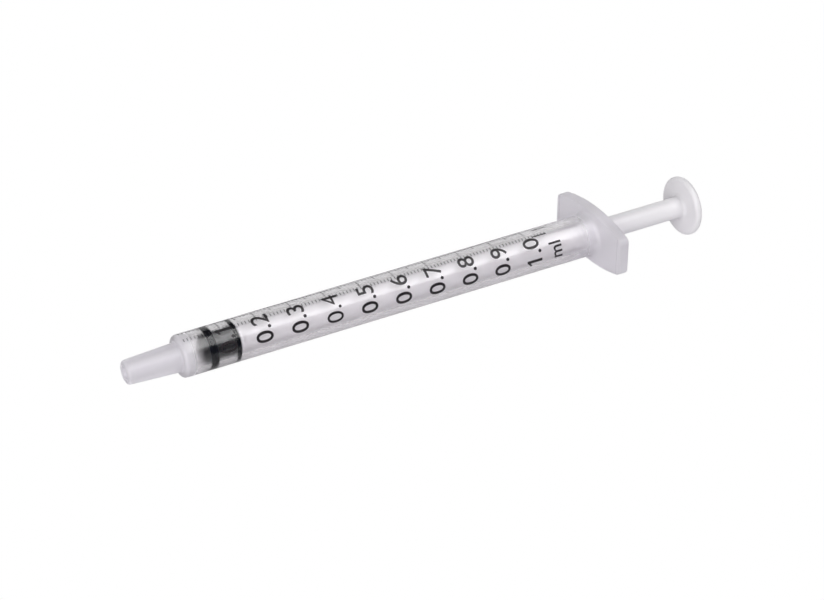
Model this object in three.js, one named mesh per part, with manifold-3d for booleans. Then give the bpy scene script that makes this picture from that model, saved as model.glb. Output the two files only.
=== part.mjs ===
// A 1 ml oral syringe: a moulded barrel, a rubber stopper and a plunger rod.
// Millimetres, +Z up. The syringe lies along X with its tip towards -X and its
// thumb disc towards +X. The origin is at the bottom centre of its bounding box.
import * as THREE from "three";
import { mergeVertices } from "three/addons/utils/BufferGeometryUtils.js";
import Module from "manifold-3d";

// Barrel. Distances along X are measured from the shoulder, the step at the root of the tip.
const BORE_DIAMETER = 4.7;
const BARREL_LENGTH = 72.4; // shoulder to the back of the finger flange
const WALL_FRONT = 0.875;
const WALL_REAR = 1.02; // the outside has a little draft, the bore has none
const SHOULDER_WALL = 0.8;
const SHOULDER_ROUND = 0.6;
const SEAT_DEPTH = 0.95; // cone at the closed end, which the stopper's nose fits
const SEAT_FLOOR_DIAMETER = 2.5;
const BEAD_HEIGHT = 0.12; // ring inside the bore that keeps the stopper from being pulled out
const BEAD_WIDTH = 1.0;
const BEAD_CREST = 0.3; // flat top of the bead
const BEAD_SETBACK = 3.2; // back of the flange to the middle of the bead
const MOUTH_CHAMFER = 0.35;

// Oral tip.
const TIP_LENGTH = 8.25;
const TIP_MOUTH_DIAMETER = 3.64;
const TIP_BASE_DIAMETER = 4.46;
const TIP_EDGE_ROUND = 0.5;
const TIP_ROOT_ROUND = 0.25;
const LUMEN_MOUTH_DIAMETER = 2.0;
const LUMEN_BASE_DIAMETER = 1.7;

// Finger flange.
const FLANGE_LENGTH = 17.8;
const FLANGE_WIDTH = 8.8; // at the barrel
const FLANGE_END_WIDTH = 5.9;
const FLANGE_THICKNESS = 1.8;
const FLANGE_CORNER_RADIUS = 0.7;
const FLANGE_EDGE_ROUND = 0.25;
const FLANGE_FILLET = 0.7;

// Stopper.
const STOPPER_CLEARANCE = 0.03; // each side in the bore
const STOPPER_LENGTH = 5.05; // over both ribs, without the nose
const FRONT_RIB_WIDTH = 1.4;
const REAR_RIB_WIDTH = 0.9;
const RIB_EDGE_ROUND = 0.18;
const WAIST_DEPTH = 0.3;
const RIB_EDGE_DEGREES = 60; // how far a rib's rounded edge turns before its flank
const WAIST_SLOPE = 0.3; // length of the cone from a rib down to the waist
const NOSE_CLEARANCE = 0.05; // to the seat, with the plunger pushed home
const NOSE_ROUND = 0.3;

// Plunger rod.
const ROD_DIAMETER = 3.42;
const DISC_STANDOFF = 12.5; // flange to thumb disc, with the plunger pushed home
const COLLAR_CLEARANCE = 0.25; // each side in the bore
const COLLAR_THICKNESS = 0.55;
const COLLAR_CONE = 0.35; // slope from the collar down to the shaft
const NECK_DIAMETER = 1.7;
const NECK_LENGTH = 1.2;
const HEAD_DIAMETER = 2.5;
const HEAD_LENGTH = 1.7;
const HEAD_TAPER = 0.85; // length of the head's pointed end
const HEAD_TIP_DIAMETER = 1.5;
const HEAD_CLEARANCE = 0.05; // between the rod's head and the stopper's cavity
const DISC_DIAMETER = 9.6;
const DISC_THICKNESS = 1.3;
const DISC_EDGE_ROUND = 0.6;
const DISC_FILLET = 0.6;

// The plunger is drawn back this far from fully home.
const REST_STROKE = 3.33;

const ROUND_SEGMENTS = 48;
const ARC_STEPS = 4;

const boreRadius = BORE_DIAMETER / 2;
const frontRadius = boreRadius + WALL_FRONT;
const rearRadius = boreRadius + WALL_REAR;
const zeroLine = SHOULDER_WALL; // where the cylindrical bore starts, and where the scale reads nought
const flangeFront = BARREL_LENGTH - FLANGE_THICKNESS;
const stopperFront = zeroLine + REST_STROKE;
const stopperBack = stopperFront + STOPPER_LENGTH;
const collarFront = stopperBack + HEAD_CLEARANCE;
const discFront = BARREL_LENGTH + DISC_STANDOFF + REST_STROKE;
const discBack = discFront + DISC_THICKNESS;
const axisHeight = Math.max(DISC_DIAMETER, FLANGE_WIDTH) / 2;
const middle = (discBack - TIP_LENGTH) / 2;

const wasm = await Module();
wasm.setup();

// Points of an arc in a lathe profile, where x is the radius and y the place along the axis.
function arc(centreRadius, centrePlace, radius, fromDegrees, toDegrees) {
  const points = [];
  for (let i = 0; i <= ARC_STEPS; i++) {
    const degrees = fromDegrees + ((toDegrees - fromDegrees) * i) / ARC_STEPS;
    const angle = THREE.MathUtils.degToRad(degrees);
    points.push([centreRadius + radius * Math.cos(angle), centrePlace + radius * Math.sin(angle)]);
  }
  return points;
}

// A solid of revolution about X, from [radius, place along X] points that start and end on the axis.
function turned(profile) {
  const points = profile.map(([radius, place]) => new THREE.Vector2(radius, place));
  const geometry = new THREE.LatheGeometry(points, ROUND_SEGMENTS);
  geometry.rotateZ(-Math.PI / 2);
  return geometry;
}

function toSolid(geometry) {
  const bare = geometry.clone();
  bare.deleteAttribute("normal");
  bare.deleteAttribute("uv");
  const merged = mergeVertices(bare, 1e-4);
  const mesh = new wasm.Mesh({
    numProp: 3,
    vertProperties: merged.attributes.position.array,
    triVerts: new Uint32Array(merged.index.array),
  });
  return new wasm.Manifold(mesh);
}

function toGeometry(solid) {
  const mesh = solid.getMesh();
  const geometry = new THREE.BufferGeometry();
  geometry.setAttribute("position", new THREE.BufferAttribute(mesh.vertProperties, 3));
  geometry.setIndex(new THREE.BufferAttribute(mesh.triVerts, 1));
  geometry.computeVertexNormals();
  return geometry;
}

// The outside of the tip and the tube, solid, up to the inside of the flange.
function barrelOutside() {
  const mouthRadius = TIP_MOUTH_DIAMETER / 2;
  const baseRadius = TIP_BASE_DIAMETER / 2;
  const fillet = Math.min(FLANGE_FILLET, FLANGE_WIDTH / 2 - FLANGE_EDGE_ROUND - rearRadius);
  return turned([
    [0, -TIP_LENGTH],
    ...arc(mouthRadius - TIP_EDGE_ROUND, TIP_EDGE_ROUND - TIP_LENGTH, TIP_EDGE_ROUND, -90, 0),
    ...arc(baseRadius + TIP_ROOT_ROUND, -TIP_ROOT_ROUND, TIP_ROOT_ROUND, 180, 90),
    ...arc(frontRadius - SHOULDER_ROUND, SHOULDER_ROUND, SHOULDER_ROUND, -90, 0),
    ...arc(rearRadius + fillet, flangeFront - fillet, fillet, 180, 90),
    [rearRadius + fillet, flangeFront + FLANGE_THICKNESS / 2],
    [0, flangeFront + FLANGE_THICKNESS / 2],
  ]);
}

// The hollow: lumen, seat, bore with its retaining bead, and the chamfered mouth.
function barrelInside() {
  const beadMiddle = BARREL_LENGTH - BEAD_SETBACK;
  const overshoot = 1;
  return turned([
    [0, -TIP_LENGTH - overshoot],
    [LUMEN_MOUTH_DIAMETER / 2, -TIP_LENGTH - overshoot],
    [LUMEN_MOUTH_DIAMETER / 2, -TIP_LENGTH],
    [LUMEN_BASE_DIAMETER / 2, zeroLine - SEAT_DEPTH],
    [SEAT_FLOOR_DIAMETER / 2, zeroLine - SEAT_DEPTH],
    [boreRadius, zeroLine],
    [boreRadius, beadMiddle - BEAD_WIDTH / 2],
    [boreRadius - BEAD_HEIGHT, beadMiddle - BEAD_CREST / 2],
    [boreRadius - BEAD_HEIGHT, beadMiddle + BEAD_CREST / 2],
    [boreRadius, beadMiddle + BEAD_WIDTH / 2],
    [boreRadius, BARREL_LENGTH - MOUTH_CHAMFER],
    [boreRadius + MOUTH_CHAMFER, BARREL_LENGTH],
    [boreRadius + MOUTH_CHAMFER, BARREL_LENGTH + overshoot],
    [0, BARREL_LENGTH + overshoot],
  ]);
}

// One quarter of the flange's outline runs along a shallow arc to a rounded corner.
function flangeOutline() {
  const halfLength = FLANGE_LENGTH / 2;
  const halfWidth = FLANGE_WIDTH / 2;
  const drop = halfWidth - FLANGE_END_WIDTH / 2;
  const sideRadius = (halfLength ** 2 + drop ** 2) / (2 * drop);
  const cornerPlace = halfLength - FLANGE_CORNER_RADIUS;
  const cornerReach = sideRadius - FLANGE_CORNER_RADIUS;
  const lean = Math.asin(cornerPlace / cornerReach);
  const cornerHeight = halfWidth - sideRadius + cornerReach * Math.cos(lean);
  const sideCentre = halfWidth - sideRadius;
  const outline = new THREE.Shape();
  const top = Math.PI / 2;
  const corner = FLANGE_CORNER_RADIUS;
  outline.absarc(0, sideCentre, sideRadius, top - lean, top + lean, false);
  outline.absarc(-cornerPlace, cornerHeight, corner, top + lean, Math.PI, false);
  outline.absarc(-cornerPlace, -cornerHeight, corner, Math.PI, 3 * top - lean, false);
  outline.absarc(0, -sideCentre, sideRadius, 3 * top - lean, 3 * top + lean, false);
  outline.absarc(cornerPlace, -cornerHeight, corner, 3 * top + lean, 4 * top, false);
  outline.absarc(cornerPlace, cornerHeight, corner, 0, top - lean, false);
  return outline;
}

function flangePlate() {
  const plate = new THREE.ExtrudeGeometry(flangeOutline(), {
    depth: FLANGE_THICKNESS - 2 * FLANGE_EDGE_ROUND,
    curveSegments: 10,
    bevelThickness: FLANGE_EDGE_ROUND,
    bevelSize: FLANGE_EDGE_ROUND,
    bevelOffset: -FLANGE_EDGE_ROUND,
    bevelSegments: 2,
  });
  plate.rotateX(Math.PI / 2);
  plate.rotateZ(Math.PI / 2);
  plate.translate(flangeFront + FLANGE_EDGE_ROUND, 0, 0);
  return plate;
}

function barrel() {
  const outside = toSolid(barrelOutside()).add(toSolid(flangePlate()));
  return toGeometry(outside.subtract(toSolid(barrelInside())));
}

// The stopper seals on two ribs. Its nose fits the seat and its cavity grips the rod's head.
function stopper() {
  const ribRadius = boreRadius - STOPPER_CLEARANCE;
  const waistRadius = boreRadius - WAIST_DEPTH;
  const noseTip = stopperFront - SEAT_DEPTH + NOSE_CLEARANCE;
  const noseRadius = SEAT_FLOOR_DIAMETER / 2 - NOSE_CLEARANCE;
  const waistStart = stopperFront + FRONT_RIB_WIDTH;
  const waistEnd = stopperBack - REAR_RIB_WIDTH;
  const neckHole = NECK_DIAMETER / 2 + HEAD_CLEARANCE;
  const cavityRadius = HEAD_DIAMETER / 2 + HEAD_CLEARANCE;
  const cavityTipRadius = HEAD_TIP_DIAMETER / 2 + HEAD_CLEARANCE;
  const cavityBack = collarFront - NECK_LENGTH + HEAD_CLEARANCE;
  const cavityFront = collarFront - NECK_LENGTH - HEAD_LENGTH - HEAD_CLEARANCE;
  const edge = RIB_EDGE_ROUND;
  const edgeCentre = ribRadius - edge;
  const turn = RIB_EDGE_DEGREES;
  return turned([
    [0, noseTip],
    [noseRadius - NOSE_ROUND, noseTip],
    [noseRadius, noseTip + NOSE_ROUND / 2],
    [edgeCentre, stopperFront],
    ...arc(edgeCentre, stopperFront + edge, edge, -turn, 0),
    ...arc(edgeCentre, waistStart - edge, edge, 0, turn),
    [waistRadius, waistStart + WAIST_SLOPE],
    [waistRadius, waistEnd - WAIST_SLOPE],
    ...arc(edgeCentre, waistEnd + edge, edge, -turn, 0),
    ...arc(edgeCentre, stopperBack - edge, edge, 0, 90),
    [neckHole, stopperBack],
    [neckHole, cavityBack],
    [cavityRadius, cavityBack],
    [cavityRadius, cavityFront + HEAD_TAPER],
    [cavityTipRadius, cavityFront],
    [0, cavityFront],
  ]);
}

function plungerRod() {
  const headBack = collarFront - NECK_LENGTH;
  const headFront = headBack - HEAD_LENGTH;
  const collarRadius = boreRadius - COLLAR_CLEARANCE;
  const shaftRadius = ROD_DIAMETER / 2;
  const discRadius = DISC_DIAMETER / 2;
  return turned([
    [0, headFront],
    [HEAD_TIP_DIAMETER / 2, headFront],
    [HEAD_DIAMETER / 2, headFront + HEAD_TAPER],
    [HEAD_DIAMETER / 2, headBack],
    [NECK_DIAMETER / 2, headBack],
    [NECK_DIAMETER / 2, collarFront],
    [collarRadius, collarFront],
    [collarRadius, collarFront + COLLAR_THICKNESS],
    [shaftRadius, collarFront + COLLAR_THICKNESS + COLLAR_CONE],
    ...arc(shaftRadius + DISC_FILLET, discFront - DISC_FILLET, DISC_FILLET, 180, 90),
    ...arc(discRadius - DISC_EDGE_ROUND, discFront + DISC_EDGE_ROUND, DISC_EDGE_ROUND, -90, 0),
    ...arc(discRadius - DISC_EDGE_ROUND, discBack - DISC_EDGE_ROUND, DISC_EDGE_ROUND, 0, 90),
    [0, discBack],
  ]);
}

function piece(name, geometry, color, roughness) {
  const material = new THREE.MeshStandardMaterial({ color, roughness, metalness: 0 });
  const mesh = new THREE.Mesh(geometry, material);
  mesh.name = name;
  return mesh;
}

const syringe = new THREE.Group();
syringe.position.set(-middle, 0, axisHeight);
syringe.add(
  piece("barrel", barrel(), 0xdddde2, 0.3), // natural polypropylene
  piece("stopper", stopper(), 0x1b1a1c, 0.6), // black rubber
  piece("plunger_rod", plungerRod(), 0xeceaf0, 0.35), // white polypropylene
);

const part = new THREE.Group();
part.add(syringe);

export default part;
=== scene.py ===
import math

import bmesh
import bpy
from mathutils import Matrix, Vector


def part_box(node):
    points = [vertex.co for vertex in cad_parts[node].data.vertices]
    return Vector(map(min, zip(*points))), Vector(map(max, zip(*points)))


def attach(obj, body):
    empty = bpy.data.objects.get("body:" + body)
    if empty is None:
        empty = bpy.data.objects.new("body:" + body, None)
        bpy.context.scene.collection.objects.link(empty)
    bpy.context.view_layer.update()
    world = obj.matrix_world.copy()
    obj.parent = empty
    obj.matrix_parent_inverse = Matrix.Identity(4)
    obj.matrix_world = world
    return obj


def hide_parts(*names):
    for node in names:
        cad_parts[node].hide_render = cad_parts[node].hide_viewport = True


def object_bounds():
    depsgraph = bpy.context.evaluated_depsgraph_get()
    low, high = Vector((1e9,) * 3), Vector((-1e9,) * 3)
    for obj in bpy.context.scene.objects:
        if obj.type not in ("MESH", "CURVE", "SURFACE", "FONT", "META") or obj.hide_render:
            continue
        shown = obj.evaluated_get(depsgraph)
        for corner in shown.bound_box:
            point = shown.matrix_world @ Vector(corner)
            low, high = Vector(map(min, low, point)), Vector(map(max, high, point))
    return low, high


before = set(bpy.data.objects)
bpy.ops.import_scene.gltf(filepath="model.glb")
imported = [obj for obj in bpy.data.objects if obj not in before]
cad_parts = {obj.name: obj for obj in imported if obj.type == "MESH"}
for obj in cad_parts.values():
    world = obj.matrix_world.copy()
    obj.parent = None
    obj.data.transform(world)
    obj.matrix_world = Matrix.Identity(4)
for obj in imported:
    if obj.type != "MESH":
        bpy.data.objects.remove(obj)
cad_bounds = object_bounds()

# An oral syringe of 1 ml, lying on a pale table: a moulded barrel, a rubber stopper,
# a plunger rod and the scale printed on the barrel. Metres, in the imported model's frame.
MM = 0.001

# Places along X and the height of the syringe's axis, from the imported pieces.
barrel_low, barrel_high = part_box("barrel")
stopper_low, stopper_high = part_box("stopper")
rod_low, rod_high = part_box("plunger_rod")
AXIS_HEIGHT = (barrel_low.z + barrel_high.z) / 2
TIP_MOUTH = barrel_low.x
FLANGE_BACK = barrel_high.x
NOSE_TIP = stopper_low.x
STOPPER_BACK = stopper_high.x
ROD_HEAD = rod_low.x
DISC_BACK = rod_high.x

# Barrel.
BORE_RADIUS = 2.35 * MM
FRONT_RADIUS = 3.225 * MM
REAR_RADIUS = 3.37 * MM
SHOULDER_ROUND = 0.6 * MM
SEAT_DEPTH = 0.95 * MM
SEAT_FLOOR_RADIUS = 1.25 * MM
BEAD_HEIGHT = 0.12 * MM
BEAD_WIDTH = 1.0 * MM
BEAD_CREST = 0.3 * MM
BEAD_SETBACK = 3.2 * MM
MOUTH_CHAMFER = 0.35 * MM
TIP_LENGTH = 8.25 * MM
TIP_MOUTH_RADIUS = 1.82 * MM
TIP_BASE_RADIUS = 2.23 * MM
TIP_EDGE_ROUND = 0.5 * MM
TIP_ROOT_ROUND = 0.25 * MM
LUMEN_MOUTH_RADIUS = 1.0 * MM
LUMEN_BASE_RADIUS = 0.85 * MM
LUMEN_EDGE_ROUND = 0.12 * MM
FLANGE_THICKNESS = 1.8 * MM
FLANGE_END_WIDTH = 5.9 * MM
FLANGE_CORNER_RADIUS = 0.7 * MM
FLANGE_EDGE_ROUND = 0.25 * MM
FLANGE_EDGE_SEGMENTS = 4
FLANGE_FILLET = 0.7 * MM
FLANGE_SLICES = 24
flange_length = barrel_high.y - barrel_low.y
flange_width = barrel_high.z - barrel_low.z
shoulder = TIP_MOUTH + TIP_LENGTH
zero_line = shoulder + 0.8 * MM
flange_front = FLANGE_BACK - FLANGE_THICKNESS

# Stopper and plunger rod.
RIB_SQUEEZE = 0.01 * MM  # the ribs press on the bore, so that no air is left between them
STOPPER_LENGTH = 5.05 * MM
FRONT_RIB_WIDTH = 1.4 * MM
REAR_RIB_WIDTH = 0.9 * MM
RIB_EDGE_ROUND = 0.18 * MM
WAIST_DEPTH = 0.3 * MM
WAIST_SLOPE = 0.3 * MM
NOSE_RADIUS = 1.2 * MM
NOSE_ROUND = 0.3 * MM
SHAFT_RADIUS = 1.71 * MM
COLLAR_RADIUS = 2.1 * MM
COLLAR_THICKNESS = 0.55 * MM
COLLAR_CONE = 0.35 * MM
NECK_RADIUS = 0.85 * MM
NECK_LENGTH = 1.2 * MM
HEAD_RADIUS = 1.25 * MM
HEAD_TAPER = 0.85 * MM
HEAD_TIP_RADIUS = 0.75 * MM
HEAD_CLEARANCE = 0.05 * MM
ROD_EDGE_ROUND = 0.1 * MM
DISC_THICKNESS = 1.3 * MM
DISC_EDGE_ROUND = 0.6 * MM
DISC_FILLET = 0.6 * MM
GATE_DIMPLE_RADIUS = 1.1 * MM
GATE_DIMPLE_DEPTH = 0.15 * MM
disc_radius = (rod_high.z - rod_low.z) / 2
disc_front = DISC_BACK - DISC_THICKNESS
stopper_front = STOPPER_BACK - STOPPER_LENGTH
collar_front = STOPPER_BACK + HEAD_CLEARANCE

# Printed scale. One tenth of a millilitre is as long as 100 mm3 of the bore. Degrees are
# counted round the barrel, from the side that faces -Y up to the top.
INK_THICKNESS = 0.015 * MM
TENTH_PITCH = 100 * MM ** 3 / (math.pi * BORE_RADIUS ** 2)
MINOR_PITCH = TENTH_PITCH / 10
NUMBER_HEIGHT = 2.8 * MM
NUMBER_STRETCH = 1.02
NUMBER_SETBACK = 0.25 * MM
NUMBER_DEGREES = 45  # at 0.2 ml
NUMBER_DRIFT = 1.86  # degrees lower with each tenth
UNIT_HEIGHT = 2.25 * MM
UNIT_STRETCH = 0.95
UNIT_PLACE = 22 * MM
UNIT_DEGREES = 20.5
STROKE_GAIN = 0.03 * MM
STRIP_WIDTH = 0.2 * MM
TICK_WIDTH = 0.12 * MM
FINE_TICK_WIDTH = 0.096 * MM
DASH_LENGTH = 2.4 * MM
SIDE_DASH_PLACE = 2.4 * MM  # past the last tenth, as the next one
TOP_DASH_PLACE = 3.2 * MM

# The lettering's font: the height of a digit as a share of the font's size, and the bare bar
# of its 1 and the flag put on it, as shares of the digit's height.
DIGIT_SHARE = 0.73
CURVE_STEPS = 6
BAR_WIDTH = 0.14
FLAG_LENGTH = 0.34
FLAG_WIDTH = 0.11
FLAG_DEGREES = 42
FLAG_OFFSET = -0.04
FLAG_HEIGHT = 0.79

# Sizes of the patterns in the materials, how far the milky ends of the barrel reach, and the
# depths, counted from the bore, where its duller surface ends and the polished one begins.
BARREL_FLOW_MARK = 4.5 * MM
ROD_FLOW_MARK = 3.8 * MM
RUBBER_GRAIN = 0.33 * MM
INK_MOTTLE = 0.4 * MM
MILKY_TIP_START = -0.3 * MM
MILKY_TIP_END = 2.7 * MM
MILKY_FLANGE_LENGTH = 5 * MM
DULL_DEPTH = 0.02 * MM
POLISHED_DEPTH = 0.3 * MM

# Studio, in metres and degrees.
TABLE_SIZE = 4
ROOM_BRIGHTNESS = 0.1
SOFTBOX_LEAN = 22
SOFTBOX_REACH = 0.7
SOFTBOX_X = 0.31
CAMERA_AZIMUTH = -29.583
CAMERA_ELEVATION = 32.257
CAMERA_DISTANCE = 336.545 * MM
CAMERA_TARGET_X = -1.745 * MM
CAMERA_TARGET_HEIGHT = 2.42 * MM
LENS = 96.78

# Meshing.
SPIN_STEPS = 128
ROUNDING_SEGMENTS = 8
SMOOTH_ANGLE = math.radians(30)
NORMAL_WEIGHT = 80
TOLERANCE = 0.001 * MM
MERGE_DISTANCE = 0.0002 * MM
SLIVER_WIDTH = 0.0005 * MM


def let_go():
    """Leaves no object selected and none in edit mode."""
    if bpy.context.object and bpy.context.object.mode != "OBJECT":
        bpy.ops.object.mode_set(mode="OBJECT")
    bpy.ops.object.select_all(action="DESELECT")


def take(*pieces):
    """Selects just these objects and makes the last one active."""
    let_go()
    for piece in pieces:
        piece.select_set(True)
    bpy.context.view_layer.objects.active = pieces[-1]


def pick(piece, chosen, kind="verts"):
    """Selects the vertices, edges or faces of the piece in edit mode that the test chooses."""
    mesh = bmesh.from_edit_mesh(piece.data)
    for part in (*mesh.verts, *mesh.edges, *mesh.faces):
        part.select = False
    bpy.ops.mesh.select_mode(type={"verts": "VERT", "edges": "EDGE", "faces": "FACE"}[kind])
    mesh = bmesh.from_edit_mesh(piece.data)
    for part in getattr(mesh, kind):
        if chosen(part):
            part.select_set(True)
    mesh.select_flush_mode()
    bmesh.update_edit_mesh(piece.data)


def finish_mesh(piece, name):
    """Closes the seams, turns the faces outwards and gives the piece its place in its mesh."""
    bpy.ops.mesh.select_mode(type="VERT")
    bpy.ops.mesh.select_all(action="SELECT")
    bpy.ops.mesh.remove_doubles(threshold=MERGE_DISTANCE)
    bpy.ops.mesh.normals_make_consistent(inside=False)
    take(piece)
    bpy.ops.object.transform_apply(location=True, rotation=True, scale=True)
    piece.name = name
    piece.data.name = name
    return piece


def turned(name, corners):
    """A solid of revolution about the syringe's axis. Its half section is drawn from corner to
    corner, each one (place along X, radius, rounding), and spun. It starts and ends on the axis."""
    let_go()
    points = [Vector((x, 0, AXIS_HEIGHT + radius)) for x, radius, rounding in corners]
    bpy.ops.mesh.primitive_plane_add(size=MM, location=points[0])
    piece = bpy.context.object
    bpy.ops.object.mode_set(mode="EDIT")
    bpy.ops.mesh.merge(type="CENTER")
    for start, end in zip(points, points[1:]):
        bpy.ops.mesh.extrude_region_move(TRANSFORM_OT_translate={"value": end - start})
    for point, (x, radius, rounding) in zip(points, corners):
        if rounding:
            pick(piece, lambda v: (v.co + points[0] - point).length < TOLERANCE)
            bpy.ops.mesh.bevel(
                offset=rounding, offset_type="OFFSET", segments=ROUNDING_SEGMENTS, affect="VERTICES"
            )
    bpy.ops.mesh.select_all(action="SELECT")
    bpy.ops.mesh.spin(
        steps=SPIN_STEPS, angle=2 * math.pi, center=(0, 0, AXIS_HEIGHT), axis=(1, 0, 0)
    )
    return finish_mesh(piece, name)


def apply_modifier(piece, kind, **settings):
    """Puts a modifier on the piece and applies it."""
    take(piece)
    modifier = piece.modifiers.new(kind.title(), kind)
    for setting, value in settings.items():
        setattr(modifier, setting, value)
    bpy.ops.object.modifier_apply(modifier=modifier.name)


def smooth(piece):
    """Smooth shading that keeps flat faces flat and edges over the angle crisp."""
    take(piece)
    bpy.ops.object.shade_smooth_by_angle(angle=SMOOTH_ANGLE)
    apply_modifier(piece, "WEIGHTED_NORMAL", keep_sharp=True, weight=NORMAL_WEIGHT)


def barrel_outside():
    """The tip, the shoulder and the tube, solid, with the fillet that runs into the flange."""
    sunk = 0.02 * MM
    flare = REAR_RADIUS + FLANGE_FILLET + 2 * sunk
    middle = flange_front + FLANGE_THICKNESS / 2
    return turned("barrel_shell", [
        (TIP_MOUTH, 0, 0),
        (TIP_MOUTH, TIP_MOUTH_RADIUS, TIP_EDGE_ROUND),
        (shoulder, TIP_BASE_RADIUS, TIP_ROOT_ROUND),
        (shoulder, FRONT_RADIUS, SHOULDER_ROUND),
        (flange_front + sunk, REAR_RADIUS, FLANGE_FILLET),
        (flange_front + sunk, flare, 0),
        (middle, flare, 0),
        (middle, 0, 0),
    ])


def barrel_hollow():
    """The lumen, the conical seat, the bore with its retaining bead and the chamfered mouth."""
    bead = FLANGE_BACK - BEAD_SETBACK
    seat = zero_line - SEAT_DEPTH
    beyond = 1 * MM
    return turned("barrel_hollow", [
        (TIP_MOUTH - beyond, 0, 0),
        (TIP_MOUTH - beyond, LUMEN_MOUTH_RADIUS + LUMEN_EDGE_ROUND + beyond, 0),
        (TIP_MOUTH + LUMEN_EDGE_ROUND, LUMEN_MOUTH_RADIUS, 0),
        (seat, LUMEN_BASE_RADIUS, 0),
        (seat, SEAT_FLOOR_RADIUS, 0),
        (zero_line, BORE_RADIUS, 0),
        (bead - BEAD_WIDTH / 2, BORE_RADIUS, 0),
        (bead - BEAD_CREST / 2, BORE_RADIUS - BEAD_HEIGHT, 0),
        (bead + BEAD_CREST / 2, BORE_RADIUS - BEAD_HEIGHT, 0),
        (bead + BEAD_WIDTH / 2, BORE_RADIUS, 0),
        (FLANGE_BACK - MOUTH_CHAMFER, BORE_RADIUS, 0),
        (FLANGE_BACK + beyond, BORE_RADIUS + MOUTH_CHAMFER + beyond, 0),
        (FLANGE_BACK + beyond, 0, 0),
    ])


def flange_plate():
    """The finger flange: a slab with bowed long sides, rounded corners and soft edges."""
    let_go()
    centre = Vector((flange_front + FLANGE_THICKNESS / 2, 0, AXIS_HEIGHT))
    bpy.ops.mesh.primitive_cube_add(size=1, location=centre)
    plate = bpy.context.object
    bpy.ops.object.mode_set(mode="EDIT")
    bpy.ops.mesh.select_all(action="SELECT")
    bpy.ops.transform.resize(value=(FLANGE_THICKNESS, flange_length, flange_width))
    half_length = flange_length / 2
    half_width = flange_width / 2
    drop = half_width - FLANGE_END_WIDTH / 2
    side_radius = (half_length ** 2 + drop ** 2) / (2 * drop)
    slices = [half_length * (2 * i / FLANGE_SLICES - 1) for i in range(FLANGE_SLICES + 1)]
    for y in slices[1:-1]:
        bpy.ops.mesh.select_all(action="SELECT")
        bpy.ops.mesh.bisect(plane_co=centre + Vector((0, y, 0)), plane_no=(0, 1, 0))
    for y in slices:
        half_here = half_width - side_radius + math.sqrt(side_radius ** 2 - y ** 2)
        pick(plate, lambda v: abs(v.co.y - y) < TOLERANCE)
        bpy.ops.transform.resize(value=(1, 1, half_here / half_width), center_override=centre)

    def runs_through(edge):
        return abs(edge.verts[0].co.x - edge.verts[1].co.x) > TOLERANCE

    def is_corner(edge):
        at_end = all(abs(v.co.y) > half_length - TOLERANCE for v in edge.verts)
        return at_end and runs_through(edge)

    def is_rim(edge):
        meets_side = any(abs(face.normal.x) < 0.5 for face in edge.link_faces)
        return meets_side and not runs_through(edge)

    pick(plate, is_corner, "edges")
    bpy.ops.mesh.bevel(offset=FLANGE_CORNER_RADIUS, segments=ROUNDING_SEGMENTS)
    pick(plate, is_rim, "edges")
    bpy.ops.mesh.bevel(offset=FLANGE_EDGE_ROUND, segments=FLANGE_EDGE_SEGMENTS)
    return finish_mesh(plate, "flange_plate")


def make_barrel():
    """The barrel: the outside and the flange joined, less the hollow, in one moulding."""
    barrel = barrel_outside()
    plate = flange_plate()
    hollow = barrel_hollow()
    apply_modifier(barrel, "BOOLEAN", operation="UNION", solver="EXACT", object=plate)
    apply_modifier(barrel, "BOOLEAN", operation="DIFFERENCE", solver="EXACT", object=hollow)
    bpy.data.objects.remove(plate)
    bpy.data.objects.remove(hollow)
    bpy.ops.object.mode_set(mode="EDIT")
    bpy.ops.mesh.select_all(action="SELECT")
    bpy.ops.mesh.dissolve_degenerate(threshold=SLIVER_WIDTH)
    finish_mesh(barrel, barrel.name)
    smooth(barrel)
    return barrel


def make_stopper():
    """The stopper, with the cavity that grips the head of the rod."""
    rib_radius = BORE_RADIUS + RIB_SQUEEZE
    waist_radius = BORE_RADIUS - WAIST_DEPTH
    front_rib_end = stopper_front + FRONT_RIB_WIDTH
    rear_rib_start = STOPPER_BACK - REAR_RIB_WIDTH
    neck_hole = NECK_RADIUS + HEAD_CLEARANCE
    cavity_radius = HEAD_RADIUS + HEAD_CLEARANCE
    cavity_back = collar_front - NECK_LENGTH + HEAD_CLEARANCE
    cavity_front = ROD_HEAD - HEAD_CLEARANCE
    stopper = turned("stopper_rubber", [
        (NOSE_TIP, 0, 0),
        (NOSE_TIP, NOSE_RADIUS, NOSE_ROUND),
        (stopper_front, rib_radius, RIB_EDGE_ROUND),
        (front_rib_end, rib_radius, RIB_EDGE_ROUND),
        (front_rib_end + WAIST_SLOPE, waist_radius, RIB_EDGE_ROUND),
        (rear_rib_start - WAIST_SLOPE, waist_radius, RIB_EDGE_ROUND),
        (rear_rib_start, rib_radius, RIB_EDGE_ROUND),
        (STOPPER_BACK, rib_radius, RIB_EDGE_ROUND),
        (STOPPER_BACK, neck_hole, 0),
        (cavity_back, neck_hole, 0),
        (cavity_back, cavity_radius, 0),
        (cavity_front + HEAD_TAPER, cavity_radius, 0),
        (cavity_front, HEAD_TIP_RADIUS + HEAD_CLEARANCE, 0),
        (cavity_front, 0, 0),
    ])
    smooth(stopper)
    return stopper


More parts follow.
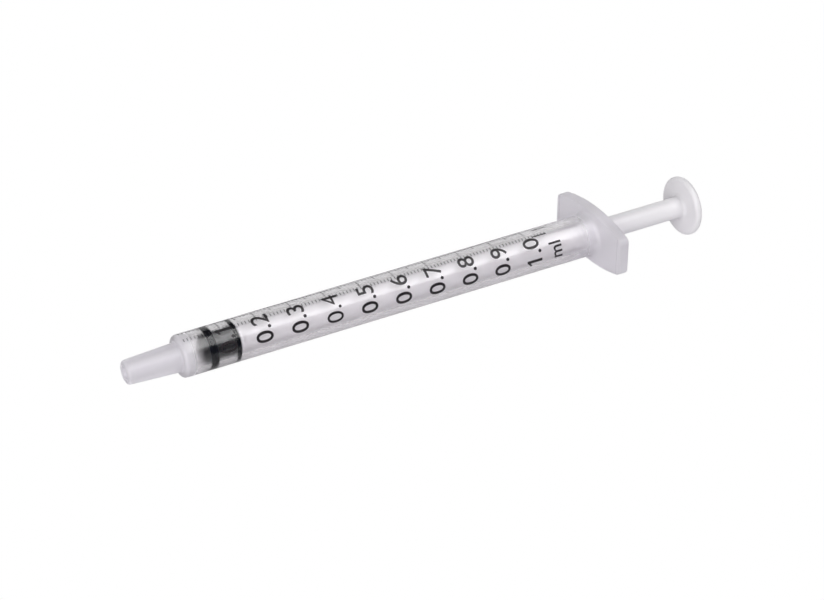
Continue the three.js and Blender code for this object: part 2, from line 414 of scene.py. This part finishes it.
def make_rod():
    """The rod: a head in the stopper, a collar behind it, the shaft and the thumb disc."""
    head_back = collar_front - NECK_LENGTH
    collar_back = collar_front + COLLAR_THICKNESS
    dimple = DISC_BACK - GATE_DIMPLE_DEPTH
    rod = turned("plunger_rod_moulded", [
        (ROD_HEAD, 0, 0),
        (ROD_HEAD, HEAD_TIP_RADIUS, ROD_EDGE_ROUND),
        (ROD_HEAD + HEAD_TAPER, HEAD_RADIUS, ROD_EDGE_ROUND),
        (head_back, HEAD_RADIUS, ROD_EDGE_ROUND),
        (head_back, NECK_RADIUS, ROD_EDGE_ROUND),
        (collar_front, NECK_RADIUS, ROD_EDGE_ROUND),
        (collar_front, COLLAR_RADIUS, ROD_EDGE_ROUND),
        (collar_back, COLLAR_RADIUS, ROD_EDGE_ROUND),
        (collar_back + COLLAR_CONE, SHAFT_RADIUS, ROD_EDGE_ROUND),
        (disc_front, SHAFT_RADIUS, DISC_FILLET),
        (disc_front, disc_radius, DISC_EDGE_ROUND),
        (DISC_BACK, disc_radius, DISC_EDGE_ROUND),
        (DISC_BACK, GATE_DIMPLE_RADIUS, ROD_EDGE_ROUND),
        (dimple, GATE_DIMPLE_RADIUS - GATE_DIMPLE_DEPTH, ROD_EDGE_ROUND),
        (dimple, 0, 0),
    ])
    smooth(rod)
    return rod


def barrel_radius_at(x):
    """The outside of the tube, which widens evenly from the shoulder to the flange."""
    share = (x - shoulder) / (flange_front - shoulder)
    return FRONT_RADIUS + (REAR_RADIUS - FRONT_RADIUS) * share


def wrap_on_barrel(piece):
    """Rolls flat print onto the barrel. Its X is already along the barrel, its Y is the arc
    from the side that faces -Y up to the top, and its Z is the height above the surface."""
    middle_radius = (FRONT_RADIUS + REAR_RADIUS) / 2
    for vertex in piece.data.vertices:
        x, arc, height = vertex.co
        turn = arc / middle_radius
        radius = barrel_radius_at(x) + height
        vertex.co = (x, -radius * math.cos(turn), AXIS_HEIGHT + radius * math.sin(turn))


def arc_at(degrees):
    """The length of that arc round the barrel."""
    return math.radians(degrees) * (FRONT_RADIUS + REAR_RADIUS) / 2


def cut_for_wrapping(piece):
    """Cuts flat print into narrow strips, so that it follows the curve of the barrel."""
    take(piece)
    bpy.ops.object.mode_set(mode="EDIT")
    arcs = [v.co.y for v in piece.data.vertices]
    cut = math.floor(min(arcs) / STRIP_WIDTH) * STRIP_WIDTH + STRIP_WIDTH
    while cut < max(arcs):
        bpy.ops.mesh.select_all(action="SELECT")
        bpy.ops.mesh.bisect(plane_co=(0, cut, 0), plane_no=(0, 1, 0))
        cut += STRIP_WIDTH


def add_flag(lettering, words, height):
    """Gives the bare bar that the font draws for a 1 the slanted flag of a printed 1."""
    ends = [corner.co.x for corner in lettering.data.vertices]
    bar = min(ends) if words.startswith("1") else max(ends) - BAR_WIDTH * height
    bpy.ops.mesh.primitive_cube_add(
        size=1,
        location=(bar + FLAG_OFFSET * height, FLAG_HEIGHT * height, 0),
        rotation=(0, 0, math.radians(FLAG_DEGREES)),
    )
    flag = bpy.context.object
    flag.scale = (FLAG_LENGTH * height, FLAG_WIDTH * height, 2 * INK_THICKNESS)
    take(flag, lettering)
    bpy.ops.object.join()


def print_text(words, height, stretch, x, degrees):
    """Flat lettering that reads up the side of the barrel, its tops towards the tip."""
    let_go()
    bpy.ops.object.text_add(location=(0, 0, 0))
    lettering = bpy.context.object
    lettering.data.body = words
    lettering.data.align_x = "CENTER"
    lettering.data.align_y = "BOTTOM_BASELINE"
    lettering.data.size = height / DIGIT_SHARE
    lettering.data.resolution_u = CURVE_STEPS
    if "4" not in words:  # one edge of the font's 4 is too short to be moved
        lettering.data.offset = STROKE_GAIN
    lettering.data.extrude = INK_THICKNESS
    bpy.ops.object.convert(target="MESH")
    lettering = bpy.context.object
    if "1" in words:
        add_flag(lettering, words, height)
    lettering.scale = (stretch, 1, 1)
    lettering.rotation_euler = (0, 0, math.pi / 2)
    lettering.location = (x + height / 2, arc_at(degrees), 0)
    bpy.ops.object.transform_apply(location=True, rotation=True, scale=True)
    return lettering


def join_print(pieces, name):
    """Joins flat print, cuts it in strips and rolls it onto the barrel."""
    take(*reversed(pieces))
    if len(pieces) > 1:
        bpy.ops.object.join()
    piece = bpy.context.object
    cut_for_wrapping(piece)
    finish_mesh(piece, name)
    wrap_on_barrel(piece)
    return piece


def make_numbers():
    """The numbers of the scale, 0.1 to 1.0. The print runs a little askew round the barrel."""
    labels = []
    for tenth in range(1, 11):
        degrees = NUMBER_DEGREES - NUMBER_DRIFT * (tenth - 2)
        x = zero_line + TENTH_PITCH * tenth + NUMBER_SETBACK
        labels.append(print_text(f"{tenth / 10:.1f}", NUMBER_HEIGHT, NUMBER_STRETCH, x, degrees))
    return join_print(labels, "scale_numbers")


def make_unit():
    """The unit, beside the last number."""
    unit = print_text("ml", UNIT_HEIGHT, UNIT_STRETCH, UNIT_PLACE, UNIT_DEGREES)
    return join_print([unit], "scale_unit")


def tick_row(first, count, pitch, width, start_degrees, end_degrees):
    """A row of equal graduations: one is modelled and the others are copies of it."""
    let_go()
    start, end = arc_at(start_degrees), arc_at(end_degrees)
    bpy.ops.mesh.primitive_cube_add(size=1, location=(first, (start + end) / 2, 0))
    row = bpy.context.object
    bpy.ops.object.mode_set(mode="EDIT")
    bpy.ops.mesh.select_all(action="SELECT")
    bpy.ops.transform.resize(value=(width, end - start, 2 * INK_THICKNESS))
    take(row)
    bpy.ops.object.transform_apply(location=True, rotation=True, scale=True)
    apply_modifier(
        row, "ARRAY", count=count, use_relative_offset=False, use_constant_offset=True,
        constant_offset_displace=(pitch, 0, 0),
    )
    return row


def make_ticks_and_painted_reflection():
    """Graduations every 0.01 ml, longer at 0.05 ml and longest at 0.1 ml, a second fine row
    beside the numbers that is a painted reflection of the fine graduations, and a dash that closes
    each of the two fine rows."""
    last = zero_line + 10 * TENTH_PITCH
    rows = [
        tick_row(zero_line + TENTH_PITCH, 10, TENTH_PITCH, TICK_WIDTH, 80, 120),
        tick_row(zero_line + TENTH_PITCH / 2, 10, TENTH_PITCH, TICK_WIDTH, 93, 120),
        tick_row(zero_line, 101, MINOR_PITCH, FINE_TICK_WIDTH, 103, 120),
        # painted reflection: fine ink ticks put where the fine graduations show mirrored in the
        # barrel
        tick_row(zero_line, 107, MINOR_PITCH, FINE_TICK_WIDTH, 69.5, 78.5),
        tick_row(last + SIDE_DASH_PLACE, 1, MINOR_PITCH, DASH_LENGTH, 70.5, 73.5),
        tick_row(last + TOP_DASH_PLACE, 1, MINOR_PITCH, DASH_LENGTH, 96.5, 99.5),
    ]
    return join_print(rows, "scale_ticks_and_painted_reflection")


def colour(hex_value):
    """An sRGB hex colour as the linear colour that a shader takes."""
    channels = [int(hex_value[i:i + 2], 16) / 255 for i in (1, 3, 5)]
    linear = [c / 12.92 if c <= 0.04045 else ((c + 0.055) / 1.055) ** 2.4 for c in channels]
    return (*linear, 1)


def add_node(tree, kind, settings=None, inputs=None):
    """Adds a shader node. An input takes a plain value, or the output that is linked to it."""
    made = tree.nodes.new("ShaderNode" + kind)
    for name, value in (settings or {}).items():
        setattr(made, name, value)
    for name, value in (inputs or {}).items():
        if isinstance(value, bpy.types.NodeSocket):
            tree.links.new(value, made.inputs[name])
        else:
            made.inputs[name].default_value = value
    return made


def new_material(name):
    """An empty material, and its tree."""
    material = bpy.data.materials.new(name)
    material.use_nodes = True
    material.node_tree.nodes.clear()
    return material, material.node_tree


def pattern(tree, size, detail):
    """Soft blotches of about this size, from 0 to 1, fixed to the piece."""
    place = add_node(tree, "TexCoord").outputs["Object"]
    noise = add_node(tree, "TexNoise", None, {
        "Vector": place, "Scale": 1 / size, "Detail": detail,
    })
    return noise.outputs["Fac"]


def between(tree, share, start, end):
    """A value that runs from start to end as the share goes from 0 to 1."""
    inputs = {"Value": share, "To Min": start, "To Max": end}
    return add_node(tree, "MapRange", None, inputs).outputs[0]


def tinted(tree, share, start, end):
    """A colour that runs from one sRGB hex colour to another as the share goes from 0 to 1."""
    inputs = {"Fac": share, "Color1": colour(start), "Color2": colour(end)}
    return add_node(tree, "MixRGB", None, inputs).outputs[0]


def bumped(tree, height, strength, distance):
    """Normals for a relief that is too fine to model."""
    inputs = {"Height": height, "Strength": strength, "Distance": distance}
    return add_node(tree, "Bump", None, inputs).outputs[0]


def natural_polypropylene():
    """Natural polypropylene, moulded on a polished cavity and a duller core: clear enough in the
    thin wall to read the stopper through where it touches, and milky towards the thick ends.
    Lamps reach what is inside it straight through the wall."""
    material, tree = new_material("natural_polypropylene_moulded")
    place = add_node(tree, "TexCoord").outputs["Object"]
    from_axis = add_node(tree, "VectorMath", {"operation": "MULTIPLY_ADD"}, {
        0: place, 1: (0, 1, 1), 2: (0, 0, -AXIS_HEIGHT),
    })
    radius = add_node(tree, "VectorMath", {"operation": "LENGTH"}, {0: from_axis.outputs[0]})
    along = add_node(tree, "SeparateXYZ", None, {0: place})
    outside = add_node(tree, "MapRange", None, {
        "Value": radius.outputs["Value"],
        "From Min": BORE_RADIUS + DULL_DEPTH,
        "From Max": BORE_RADIUS + POLISHED_DEPTH,
    })
    past_shoulder = add_node(tree, "MapRange", {"interpolation_type": "SMOOTHSTEP"}, {
        "Value": along.outputs["X"],
        "From Min": zero_line + MILKY_TIP_START,
        "From Max": zero_line + MILKY_TIP_END,
    })
    short_of_flange = add_node(tree, "MapRange", {"interpolation_type": "SMOOTHSTEP"}, {
        "Value": along.outputs["X"],
        "From Min": flange_front,
        "From Max": flange_front - MILKY_FLANGE_LENGTH,
    })
    thin_wall = add_node(tree, "Math", {"operation": "MULTIPLY"}, {
        0: past_shoulder.outputs[0], 1: short_of_flange.outputs[0],
    }).outputs[0]
    polished = add_node(tree, "Math", {"operation": "MULTIPLY"}, {
        0: outside.outputs[0], 1: thin_wall,
    }).outputs[0]
    flow = pattern(tree, BARREL_FLOW_MARK, 3)
    roughness = add_node(tree, "Math", {"operation": "ADD"}, {
        0: between(tree, polished, 0.34, 0.12), 1: between(tree, flow, -0.05, 0.05),
    })
    tint = tinted(tree, thin_wall, "#EAE8EC", "#FDFCFD")
    plastic = add_node(tree, "BsdfPrincipled", None, {
        "Base Color": tint,
        "Roughness": roughness.outputs[0],
        "IOR": 1.49,
        "Transmission Weight": between(tree, thin_wall, 0.55, 1.0),
        "Normal": bumped(tree, flow, 0.08, 0.05 * MM),
    })
    path = add_node(tree, "LightPath")
    clear = add_node(tree, "BsdfTransparent", None, {"Color": tint})
    to_inside = add_node(tree, "MixShader", None, {
        0: path.outputs["Is Diffuse Ray"], 1: plastic.outputs[0], 2: clear.outputs[0],
    })
    mix = add_node(tree, "MixShader", None, {
        0: path.outputs["Is Shadow Ray"], 1: to_inside.outputs[0], 2: clear.outputs[0],
    })
    add_node(tree, "OutputMaterial", None, {"Surface": mix.outputs[0]})
    return material


def white_polypropylene():
    """White polypropylene, moulded: an even soft white with a low satin gloss."""
    material, tree = new_material("white_polypropylene_moulded")
    flow = pattern(tree, ROD_FLOW_MARK, 4)
    plastic = add_node(tree, "BsdfPrincipled", None, {
        "Base Color": tinted(tree, flow, "#E0DEE1", "#E8E6E9"),
        "Roughness": between(tree, flow, 0.28, 0.42),
        "IOR": 1.49,
        "Normal": bumped(tree, flow, 0.1, 0.05 * MM),
    })
    add_node(tree, "OutputMaterial", None, {"Surface": plastic.outputs[0]})
    return material


def black_rubber():
    """Black rubber, compression moulded: nearly black, dull, with a fine grain."""
    material, tree = new_material("black_rubber_moulded")
    grain = pattern(tree, RUBBER_GRAIN, 4)
    rubber = add_node(tree, "BsdfPrincipled", None, {
        "Base Color": tinted(tree, grain, "#02030A", "#070912"),
        "Roughness": 0.55,
        "IOR": 1.52,
        "Specular IOR Level": 0.03,
        "Normal": bumped(tree, grain, 0.2, 0.02 * MM),
    })
    add_node(tree, "OutputMaterial", None, {"Surface": rubber.outputs[0]})
    return material


def scale_ink():
    """Black pad-printed ink: thin and slightly glossy, a little uneven in cover."""
    material, tree = new_material("black_ink_pad_printed")
    cover = pattern(tree, INK_MOTTLE, 3)
    ink = add_node(tree, "BsdfPrincipled", None, {
        "Base Color": tinted(tree, cover, "#0C080C", "#1A141A"), "Roughness": 0.4, "IOR": 1.5,
    })
    add_node(tree, "OutputMaterial", None, {"Surface": ink.outputs[0]})
    return material


def dress(piece, body, material, replaced=None):
    """Gives a piece its material and tells the frame what it rides on and stands for."""
    piece.data.materials.clear()
    piece.data.materials.append(material)
    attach(piece, body)
    if replaced:
        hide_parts(replaced)


def make_floor():
    """A pale table. The syringe lies on it on the lower edge of its shoulder and of its disc."""
    let_go()
    rest_front = Vector((shoulder + SHOULDER_ROUND, 0, AXIS_HEIGHT - FRONT_RADIUS))
    rest_back = Vector((DISC_BACK - DISC_EDGE_ROUND, 0, AXIS_HEIGHT - disc_radius))
    tilt = math.atan2(rest_front.z - rest_back.z, rest_back.x - rest_front.x)
    bpy.ops.mesh.primitive_plane_add(size=TABLE_SIZE, location=rest_back, rotation=(0, tilt, 0))
    floor = bpy.context.object
    floor.name = "table"
    material, tree = new_material("white_table")
    white = add_node(tree, "BsdfDiffuse", None, {"Color": colour("#E4E3E5")})
    bright = add_node(tree, "Emission", None, {"Color": (1, 1, 1, 1), "Strength": 1.0})
    seen = add_node(tree, "LightPath").outputs["Is Camera Ray"]
    mix = add_node(tree, "MixShader", None, {0: seen, 1: white.outputs[0], 2: bright.outputs[0]})
    add_node(tree, "OutputMaterial", None, {"Surface": mix.outputs[0]})
    floor.data.materials.append(material)


def light_panel(name, centre, aim, width, height, radiance):
    """A softbox or a lit screen of an even brightness, facing the point that it is aimed at."""
    let_go()
    bpy.ops.object.light_add(type="AREA", location=centre)
    panel = bpy.context.object
    panel.name = name
    panel.rotation_euler = (centre - aim).to_track_quat("Z", "Y").to_euler()
    panel.data.shape = "RECTANGLE"
    panel.data.size = width
    panel.data.size_y = height
    panel.data.energy = math.pi * radiance * width * height
    panel.visible_camera = False


def make_light():
    """A softbox overhead, a lit white screen behind and another in front on the tip's side, in
    a dim room. Each one: its name, its centre, what it faces, width, height and radiance."""
    lean = math.radians(SOFTBOX_LEAN)
    overhead = (SOFTBOX_X, -SOFTBOX_REACH * math.sin(lean), SOFTBOX_REACH * math.cos(lean))
    for name, centre, aim, width, height, radiance in (
        ("softbox", overhead, (SOFTBOX_X, 0, 0), 0.45, 0.71, 3.5),
        ("screen_behind", (0.1, 0.9, 0.4), (0.1, 0, 0.4), 2.4, 0.75, 0.8),
        ("screen_in_front", (-0.75, -0.6, 0.45), (0, 0, 0.1), 1.0, 0.85, 3.5),
    ):
        light_panel(name, Vector(centre), Vector(aim), width, height, radiance)
    world = bpy.data.worlds.new("studio")
    bpy.context.scene.world = world
    world.use_nodes = True
    tree = world.node_tree
    tree.nodes.clear()
    room = add_node(tree, "Background", None, {
        "Color": colour("#F2F0F2"), "Strength": ROOM_BRIGHTNESS,
    })
    white = add_node(tree, "Background", None, {"Color": (1, 1, 1, 1), "Strength": 1.0})
    seen = add_node(tree, "LightPath").outputs["Is Camera Ray"]
    mix = add_node(tree, "MixShader", None, {0: seen, 1: room.outputs[0], 2: white.outputs[0]})
    add_node(tree, "OutputWorld", None, {"Surface": mix.outputs[0]})


def make_camera():
    """A long lens, from the tip's side and above."""
    low, high = (Vector(corner) for corner in cad_bounds)
    target = Vector(((low.x + high.x) / 2 + CAMERA_TARGET_X, 0, CAMERA_TARGET_HEIGHT))
    azimuth = math.radians(CAMERA_AZIMUTH)
    elevation = math.radians(CAMERA_ELEVATION)
    back = Vector((
        math.sin(azimuth) * math.cos(elevation),
        -math.cos(azimuth) * math.cos(elevation),
        math.sin(elevation),
    ))
    let_go()
    bpy.ops.object.camera_add(location=target + CAMERA_DISTANCE * back)
    camera = bpy.context.object
    camera.rotation_euler = back.to_track_quat("Z", "Y").to_euler()
    camera.data.sensor_width = 36
    camera.data.lens = LENS
    camera.data.clip_start = 0.01
    camera.data.clip_end = 20
    bpy.context.scene.camera = camera


ink = scale_ink()
dress(make_barrel(), "barrel", natural_polypropylene(), "barrel")
dress(make_stopper(), "stopper", black_rubber(), "stopper")
dress(make_rod(), "plunger", white_polypropylene(), "plunger_rod")
dress(make_numbers(), "barrel", ink)
dress(make_unit(), "barrel", ink)
dress(make_ticks_and_painted_reflection(), "barrel", ink)
make_floor()
make_light()
make_camera()
bpy.context.scene.view_settings.view_transform = "Standard"
